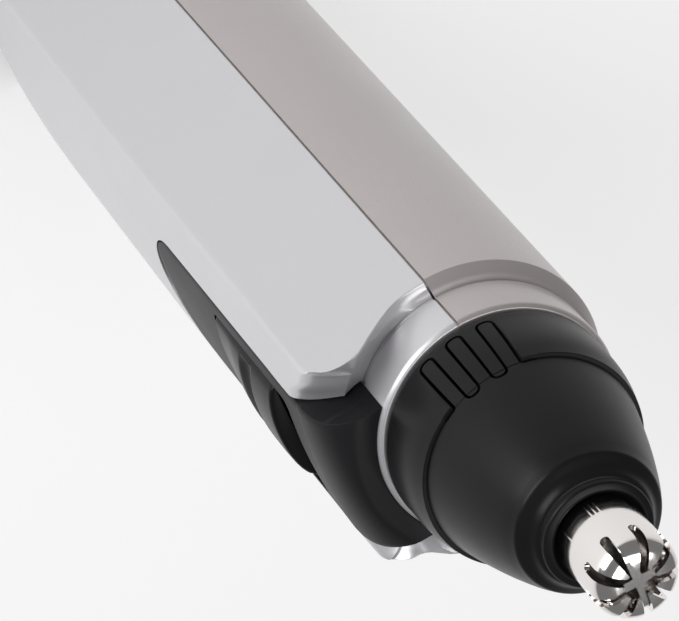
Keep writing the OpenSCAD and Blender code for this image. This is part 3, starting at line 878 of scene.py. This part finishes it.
        def circle(radius: float, z: float) -> Ring:
            """Return a circle with its points at the outline's polar angles."""
            return [(radius * math.cos(a), radius * math.sin(a), z) for a in angles]

        spigot = [(10.0, top), (10.0, top + 2.2), (9.62, top + 2.5), (9.62, top + 3.5), (10.0, top + 3.8),
                  (10.0, spigot_high - 0.3), (9.7, spigot_high), (8.95, spigot_high),
                  (8.9, spigot_high - 0.1), (8.9, 5.0)]
        rings += [circle(radius, z) for radius, z in spigot]
        return loft("battery_cap", rings)


def frame_box_mm(node: str) -> tuple[Point, Point]:
    """Return a CAD node's lowest and highest corners in millimetres."""
    low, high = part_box(node)
    return tuple(v / MM for v in low), tuple(v / MM for v in high)


# Grip and switch -------------------------------------------------------------------------


@dataclass
class Grip:
    """The black grip with its nose over the neck, and the slide button in it. Sizes are in millimetres."""

    case: Case
    gap: float = 0.05
    edge_round: float = 0.3
    nose_r: float = 12.9
    button_half_w: float = 5.2
    finger_groove_z: float = -20.3
    finger_groove_w: float = 3.2
    finger_groove_depth: float = 0.6

    def skin_y(self, x: float, z: float) -> float:
        """Return the depth of the grip's skin in front of the axis."""
        case = self.case
        front = case.front_y(z) - case.face_drop * (x / case.half_w(z)) ** 2
        share = clamp01((abs(x) - case.grip_half_w + 0.6) / 0.6)
        return front - self.edge_round * (1 - math.sqrt(1 - min(0.999, share) ** 2))

    def panel(self) -> bpy.types.Object:
        """Loft the grip's plate, trim its round lower end and add the nose."""
        case = self.case
        n, half = case.neck_z, case.grip_half_w - self.gap
        shares = [math.sin(math.pi / 2 * (i / 18 - 1)) for i in range(37)]
        rings: list[Ring] = []
        steps = 80
        low, high = n - case.grip_low - 1, n - 7.4
        for k in range(steps + 1):
            z = lerp(low, high, k / steps)
            end = z - (n - case.grip_low)
            sink = 0.35 * (1 - math.sqrt(clamp01(end / 2.5))) if end < 2.5 else 0.0
            front = [(s * half, -self.skin_y(s * half, z) + sink, z) for s in shares]
            rings.append(front + [(x, -case.grip_floor_y - 0.02, z) for x, _, _ in reversed(front)])
        plate = loft("grip_panel", rings)
        carve(plate, case.grip_prism(-self.gap), "INTERSECT")
        carve(plate, self.window())
        return weld([plate, self.nose()])

    def window(self) -> bpy.types.Object:
        """Make the round-cornered opening that the button slides in."""
        low, high = frame_box_mm("switch_button")
        travel = next(j["range_m"][1] for j in frame["joints"] if j["name"] == "switch_slide") / MM
        reach, near_corner, far_corner = 0.2, 1.0, 1.6
        x1, z0, z1 = high[0] + reach, low[2] - reach, high[2] + travel + reach
        outline = soften([(-x1, z0, near_corner), (x1, z0, near_corner), (x1, z1, far_corner),
                          (-x1, z1, far_corner)], steps=8)
        return loft("button_window", [[(x, y, z) for x, z in outline] for y in (-20.0, -12.0)])

    def nose(self) -> bpy.types.Object:
        """Loft the lip that closes the grip over the front of the neck."""
        case = self.case
        n, half = case.neck_z, case.grip_half_w - self.gap
        rows = [(-7.4, 0.0), (-6.2, 0.0), (-5.0, 0.03), (-4.0, 0.09), (-3.2, 0.17), (-2.5, 0.28),
                (-1.9, 0.42), (-1.4, 0.58), (-1.0, 0.76), (-0.75, 0.9), (-0.58, 1.03), (-0.5, 1.22)]
        rings: list[Ring] = []
        steps = 40
        for dz, share in rows:
            z = n + dz
            front = []
            for i in range(steps + 1):
                x = half * math.sin(math.pi / 2 * (2 * i / steps - 1))
                low_y = self.skin_y(x, n - 7.4)
                rim_y = math.sqrt(self.nose_r**2 - x * x)
                front.append((x, -lerp(low_y, rim_y, share), z))
            inner = case.neck_r + 0.05
            limit = math.asin(half / inner)
            back = []
            for i in range(steps + 1):
                a = lerp(limit, -limit, i / steps)
                back.append((inner * math.sin(a), -inner * math.cos(a), z))
            rings.append(front + back)
        nose = loft("grip_nose", rings)
        break_edges(nose, 0.22, 50, 3)
        return nose

    def button(self) -> bpy.types.Object:
        """Loft the slide button: a crowned pad with a finger groove across it."""
        low, high = frame_box_mm("switch_button")
        n, half = self.case.neck_z, self.button_half_w
        foot_y, top_y = self.case.grip_floor_y + 1.1, -low[1]
        shares = [-1, -0.99, -0.96, -0.92, -0.86, -0.76, -0.62, -0.46, -0.3, -0.15, 0]
        shares += [-s for s in reversed(shares[:-1])]
        rows = 110
        rings: list[Ring] = []
        for k in range(rows + 1):
            z = lerp(low[2], high[2], k / rows)
            from_low, from_high = z - low[2], high[2] - z
            swell = through([(0, 0.35), (2.5, 0.5), (5.0, 0.82), (8.0, 1.0), (12.5, 1.0), (14.6, 0.92)],
                            from_low)
            groove = self.finger_groove_depth * self._dip(z - n - self.finger_groove_z)
            corner = 0.45 * (1 - math.sqrt(clamp01(1 - (1 - min(from_low, from_high, 0.45) / 0.45) ** 2)))
            ring = []
            for s in shares:
                x = s * (half - 0.5 * corner)
                plain = self.case.front_y(z) - self.case.face_drop * (x / self.case.half_w(z)) ** 2
                crown = (top_y - plain) * swell * (1 - s * s) ** 0.8
                side = 0.4 * clamp01((abs(s) - 0.9) / 0.1) ** 2
                cut = groove * ease((0.93 - abs(s)) / 0.12)
                ring.append((x, -(plain + crown - side - corner - cut), z))
            rings.append(ring + [(x, -foot_y, z) for x, _, _ in reversed(ring)])
        button = loft("switch_button", rings)
        wiper = frame_box_mm("switch_wiper")
        middle = (wiper[0][2] + wiper[1][2]) / 2
        stem = box("switch_stem", (-1.5, -foot_y - 0.2, middle - 1.5), (1.5, high[1], middle + 1.5))
        return weld([button, stem])

    def _dip(self, distance: float) -> float:
        """Return the share of the finger groove's depth at a distance from its middle."""
        return math.cos(math.pi / 2 * clamp01(abs(distance) / (self.finger_groove_w / 2))) ** 1.3


# Cutting head ----------------------------------------------------------------------------


@dataclass
class Head:
    """The black collar and cone with their interlocking fingers, and the slotted steel blade."""

    neck_z: float
    collar_h: float = 7.1
    ledge: float = 0.34
    bezel_r: float = 4.9
    blade_r: float = 3.7
    blade_wall: float = 0.45
    tip_h: float = 28.0
    slot_count: int = 9
    slot_w: float = 0.9
    slot_depth: float = 2.95
    slot_first: float = 33.5
    star_r: float = 1.4
    finger_first: float = 166.3
    finger_pitch: float = 8.0
    finger_low: float = 1.0
    finger_high: float = 7.55
    groove: float = 0.13

    def skin_r(self, angle: float, z: float) -> float:
        """Return the outer radius of the collar and cone.

        Args:
            angle: Angle round the axis in degrees, from 0 to 360.
            z: Height over the neck plane.

        Returns:
            The radius in millimetres, with the collar standing proud of the cone away from the fingers.
        """
        smooth_r = through([(0.0, 10.55), (2.5, 10.36), (4.8, 10.03), (7.1, 9.52), (10.0, 8.86),
                            (13.0, 8.08), (15.8, 7.22), (17.8, 6.5)], z)
        low, high = self.finger_first, self.finger_first + 5 * self.finger_pitch
        outside = min(abs(angle - low), abs(angle - high)) if not low < angle < high else 0.0
        proud = self.ledge * ease(outside / 1.2) * ease((z - 0.8) / 5.2)
        return smooth_r + (proud if z <= self.collar_h + 0.001 else 0.0)

    def body(self) -> bpy.types.Object:
        """Loft the thin outer wall of the collar and cone in one, before it is parted."""
        steps = 360
        low = [(0.12, 0.45), (0.2, 0.2), (0.35, 0.06), (0.6, 0.0)]
        heights = [0.6 + 0.25 * i for i in range(1, 26)] + [self.collar_h - 0.12]
        rows: list[tuple[float, float]] = low + [(z, 0.0) for z in heights] + [(self.collar_h, 0.1)]
        rows += [(self.collar_h + 0.02, 0.0)] + [(7.4 + 0.4 * i, 0.0) for i in range(25)]
        rings: list[Ring] = []
        for z, inset in rows:
            rings.append(self._ring(steps, z, lambda a, z=z, inset=inset: self.skin_r(a, z) - inset))
        front = soften([(6.58, 17.3, 0.0), (6.45, 17.95, 0.28), (5.5, 18.55, 0.4), (5.05, 19.25, 0.3),
                        (self.bezel_r + 0.02, 19.3, 0.0)], closed=False, steps=5)
        rings += [self._ring(steps, z, lambda a, r=r: r) for r, z in front[1:]]
        inner = [(self.bezel_r + 0.02, 17.5), (self.blade_r - 0.2, 17.5), (self.blade_r - 0.2, 12.05),
                 (5.2, 12.0), (5.2, 11.0), (7.6, 7.4), (8.5, 6.9), (9.0, 5.0), (9.3, 2.5), (9.5, 1.1),
                 (9.5, 0.12)]
        rings += [self._ring(steps, z, lambda a, r=r: r) for r, z in inner]
        return loft("head_body", rings, Ends.JOIN)

    def _ring(self, steps: int, z: float, radius: Callable[[float], float]) -> Ring:
        """Return a ring at height z over the neck plane, with its radius given by angle."""
        ring = []
        for i in range(steps):
            degrees = 360 * i / steps
            ring.append(polar(radius(degrees), degrees, self.neck_z + z))
        return ring

    def parting_line(self) -> list[tuple[float, float, float]]:
        """Return the closed line between collar and cone, as (angle, height, half width of the gap)."""
        line: list[tuple[float, float, float]] = []
        per_mm = math.degrees(1 / 10.0)
        corner = 0.62
        level = self.collar_h - 0.02
        stops: list[tuple[float, float]] = [(self.finger_first, level)]
        for k in range(6):
            a = self.finger_first + k * self.finger_pitch
            first, second = (level if k == 0 else self.finger_high, self.finger_low)
            if k % 2:
                first, second = second, (level if k == 5 else self.finger_high)
            stops += [(a, first), (a, second)]
        corners = [(a / per_mm, z) for a, z in stops[1:]]
        outline = [(corners[0][0] - 1.2, level)] + corners + [(corners[-1][0] + 1.2, level)]
        points: list[Flat] = [outline[0]]
        for i in range(1, len(outline) - 1):
            radius = 0.25 if i in (1, len(outline) - 2) else corner
            points += rounded(outline[i - 1], outline[i], outline[i + 1], radius, 6)
        points.append(outline[-1])
        line += [(s * per_mm, z, self.groove) for s, z in points]
        start, end = line[-1][0], line[0][0] + 360
        plain = 150
        line += [(lerp(start, end, i / plain), level, 0.05) for i in range(1, plain)]
        return line

    def parting_cutter(self) -> bpy.types.Object:
        """Loft the thin ribbon that parts the collar from the cone."""
        line = self.parting_line()
        rings: list[Ring] = []
        count = len(line)
        for i, (a, z, half) in enumerate(line):
            before, after = line[i - 1], line[(i + 1) % count]
            run = ((after[0] - before[0] + 180) % 360 - 180) * math.radians(10.0)
            rise = after[1] - before[1]
            length = math.hypot(run, rise) or 1.0
            side_s, side_z = -rise / length * half, run / length * half
            corners = []
            for r, sign in ((7.0, 1), (11.6, 1), (11.6, -1), (7.0, -1)):
                angle = math.radians(a + sign * math.degrees(side_s / 10.0))
                corners.append((r * math.cos(angle), r * math.sin(angle), self.neck_z + z + sign * side_z))
            rings.append(corners)
        return loft("parting_cutter", rings, Ends.JOIN)

    def covers(self) -> tuple[bpy.types.Object, bpy.types.Object]:
        """Part the outer wall into collar and cone.

        Returns:
            The collar with its spigot, and the cone.
        """
        body = self.body()
        carve(body, self.parting_cutter())
        activate(body)
        bpy.ops.object.mode_set(mode="EDIT")
        bpy.ops.mesh.select_all(action="SELECT")
        bpy.ops.mesh.separate(type="LOOSE")
        bpy.ops.object.mode_set(mode="OBJECT")
        loose = [o for o in bpy.context.selected_objects]
        loose.sort(key=lambda o: len(o.data.polygons), reverse=True)
        for crumb in loose[2:]:
            bpy.data.objects.remove(crumb)
        loose = loose[:2]
        loose.sort(key=lambda o: sum(v.co.z for v in o.data.vertices) / len(o.data.vertices))
        collar, cone = loose
        collar.name, cone.name = "head_collar", "nose_cone"
        return weld([collar, self.spigot()]), cone

    def spigot(self) -> bpy.types.Object:
        """Turn the spigot under the collar, with its seal groove, and cut its keyway."""
        r, bore = 8.05, 6.3
        profile = soften([(r - 0.3, -9.0, 0.0), (r, -8.7, 0.0), (r, -3.5, 0.0), (r - 0.85, -3.4, 0.0),
                          (r - 0.85, -2.6, 0.0), (r, -2.5, 0.0), (r, 0.12, 0.0), (9.6, 0.12, 0.0),
                          (9.6, 0.95, 0.0), (bore, 0.95, 0.0), (bore, -9.0, 0.0)])
        spigot = turn("head_spigot", profile, self.neck_z, 0, 360, 96)
        wedge = []
        for r_cut in (7.05, 9.2):
            ring = []
            for a, z in [(54.2, -11)] + [(54.2 + 41.6 * i / 12, -6.6) for i in range(13)] + [(95.8, -11)]:
                ring.append(polar(r_cut, a, self.neck_z + z))
            wedge.append(ring)
        return carve(spigot, loft("keyway_cutter", wedge))

    def bezel(self) -> bpy.types.Object:
        """Turn the ring round the blade tube."""
        r0, r1 = self.blade_r + 0.04, self.bezel_r - 0.06
        profile = soften([(self.blade_r - 0.2, 17.5, 0.0), (r1, 17.5, 0.0), (r1, 19.95, 0.22),
                          (r0 + 0.35, 20.25, 0.25), (r0, 19.7, 0.1), (self.blade_r - 0.2, 19.6, 0.0)])
        return turn("blade_bezel", profile, self.neck_z, 0, 360, 144)

    def outer_blade(self) -> bpy.types.Object:
        """Turn the blade tube with its domed end, and cut its slots and star hole."""
        r, bore, tip = self.blade_r, self.blade_r - self.blade_wall, self.tip_h
        round_out, round_in = 1.65, 1.25
        floor = tip - self.blade_wall
        arc = [math.pi / 2 * i / 12 for i in range(13)]
        outer = [(r - round_out + round_out * math.cos(a), tip - round_out + round_out * math.sin(a))
                 for a in arc]
        inner = [(bore - round_in + round_in * math.cos(a), floor - round_in + round_in * math.sin(a))
                 for a in reversed(arc)]
        shank = [(r - 0.2, 12.0), (r - 0.2, 19.9), (r, 20.0), (r, 22.5)]
        profile = shank + outer + [(self.star_r, tip), (self.star_r, floor)] + inner + [(bore, 12.0)]
        tube = turn("outer_blade", profile, self.neck_z, 0, 360, 180)
        flange = [(3.25, 11.0), (5.15, 11.0), (5.15, 12.0), (3.25, 12.0)]
        foot = turn("blade_foot", flange, self.neck_z, 0, 360, 96)
        for k in range(self.slot_count):
            carve(tube, self._slot_cutter(self.slot_first + 360 * k / self.slot_count))
        break_edges(tube, 0.05, 40, 1)
        return weld([tube, foot])

    def _slot_cutter(self, angle: float) -> bpy.types.Object:
        """Make the round-ended blade that cuts one slot at an angle in degrees."""
        half, low = self.slot_w / 2, self.tip_h - self.slot_depth
        outline = [(half, self.tip_h + 1)]
        for i in range(11):
            a = math.pi * i / 10
            outline.append((half * math.cos(a), low + half - half * math.sin(a)))
        outline.append((-half, self.tip_h + 1))
        turned = Matrix.Rotation(math.radians(angle), 3, "Z")
        rings = []
        for reach, squeeze in ((0.5, 0.7), (4.6, 1.0)):
            ring = []
            for side, z in outline:
                p = turned @ Vector((reach, side * squeeze, self.neck_z + z))
                ring.append((p.x, p.y, p.z))
            rings.append(ring)
        return loft("slot_cutter", rings)


# Studio ----------------------------------------------------------------------------------


@dataclass
class Studio:
    """Camera, floor and soft lights."""

    neck_z: float
    offset: Point = (-192.7, -47.0, 268.5)
    look: Point = (0.54230, 0.11973, -0.83161)
    up: Point = (-0.76106, 0.48932, -0.42585)
    focal: float = 212.08

    def camera(self) -> None:
        """Place the camera and make it the scene's."""
        data = bpy.data.cameras.new("camera")
        data.lens, data.sensor_width = self.focal, 36.0
        data.clip_start, data.clip_end = 0.01, 20.0
        eye = bpy.data.objects.new("camera", data)
        bpy.context.scene.collection.objects.link(eye)
        back = -Vector(self.look).normalized()
        right = Vector(self.up).cross(back).normalized()
        up = back.cross(right).normalized()
        x, y, z = self.offset
        place = Matrix.Translation(Vector((x, y, z + self.neck_z)) * MM)
        eye.matrix_world = place @ Matrix((right, up, back)).transposed().to_4x4()
        bpy.context.scene.camera = eye

    def floor(self) -> None:
        """Lay a plain pale floor."""
        deselect_all()
        bpy.ops.mesh.primitive_plane_add(size=3.0)
        floor = bpy.context.active_object
        floor.name = "floor"
        shade = Shade("floor_paper")
        place = shade.node("ShaderNodeTexCoord").outputs["Object"]
        slow = shade.noise(place, 3.0, 2.0)
        colour = shade.node("ShaderNodeMix", {"data_type": "RGBA"},
                            {0: slow, 6: (0.93, 0.93, 0.93, 1.0), 7: (0.96, 0.96, 0.96, 1.0)}).outputs[2]
        surface = shade.node("ShaderNodeBsdfPrincipled", None, {
            "Base Color": colour, "Roughness": 0.9, "Emission Color": (1.0, 1.0, 1.0, 1.0),
            "Emission Strength": 0.08})
        shade.node("ShaderNodeOutputMaterial", None, {"Surface": surface.outputs[0]})
        floor.data.materials.append(shade.material)

    def lamp(self, name: str, where: Point, target: Point, size: float, power: float,
             tint: Colour = (1, 1, 1)) -> None:
        """Hang one soft square lamp.

        Args:
            name: Name of the lamp.
            where: Its place in millimetres.
            target: The point that it faces, in millimetres.
            size: Side of the lamp in metres.
            power: Power in watts.
            tint: Colour of its light.
        """
        data = bpy.data.lights.new(name, "AREA")
        data.shape, data.size, data.energy, data.color = "SQUARE", size, power, tint
        lamp = bpy.data.objects.new(name, data)
        bpy.context.scene.collection.objects.link(lamp)
        lamp.location = Vector(where) * MM
        aim = (Vector(target) - Vector(where)).normalized()
        lamp.rotation_mode = "QUATERNION"
        lamp.rotation_quaternion = aim.to_track_quat("-Z", "Y")

    def light(self) -> None:
        """Hang the lamps and set the room's even light."""
        middle = (0.0, 0.0, self.neck_z)
        self.lamp("key", (-620, -470, 240), middle, 0.5, 4.6)
        self.lamp("overhead", (100, 100, 1100), middle, 0.8, 7.6)
        world = bpy.data.worlds.new("room")
        bpy.context.scene.world = world
        world.use_nodes = True
        world.node_tree.nodes["Background"].inputs["Color"].default_value = (1, 1, 1, 1)
        world.node_tree.nodes["Background"].inputs["Strength"].default_value = 0.2
        view = bpy.context.scene.view_settings
        view.view_transform, view.look = "Standard", "None"

    def build(self) -> None:
        """Set up the whole studio."""
        self.camera()
        self.floor()
        self.light()


def main() -> None:
    """Build the studio, the case, the grip and the head, and dress what the CAD frame keeps."""
    shell_low, shell_high = frame_box_mm("back_shell")
    neck_z = shell_high[2]
    Studio(neck_z).build()
    wardrobe = Wardrobe()
    wardrobe.dress_frame()
    case = Case(neck_z, shell_low[2], shell_high[0])
    # The back shell wears the painted-shade copy of the silver paint, darker than the front shell's.
    wardrobe.dress(case.back_shell(), "root", "silver_back_painted_shade", ["back_shell"])
    wardrobe.dress(case.front_shell(), "root", "silver_case", ["front_shell"])
    wardrobe.dress(case.battery_cap(), "cap", "silver_case", ["battery_cap"])
    grip = Grip(case)
    wardrobe.dress(grip.panel(), "root", "soft_black", ["grip_panel"])
    wardrobe.dress(grip.button(), "switch", "black_plastic", ["switch_button"])
    head = Head(neck_z)
    collar, cone = head.covers()
    wardrobe.dress(collar, "head", "black_plastic", ["head_collar"])
    wardrobe.dress(cone, "head", "black_plastic", ["nose_cone"])
    wardrobe.dress(head.bezel(), "head", "black_plastic", ["blade_bezel"])
    wardrobe.dress(head.outer_blade(), "head", "blade_steel", ["outer_blade"])
    deselect_all()


if __name__ == "__main__":
    main()
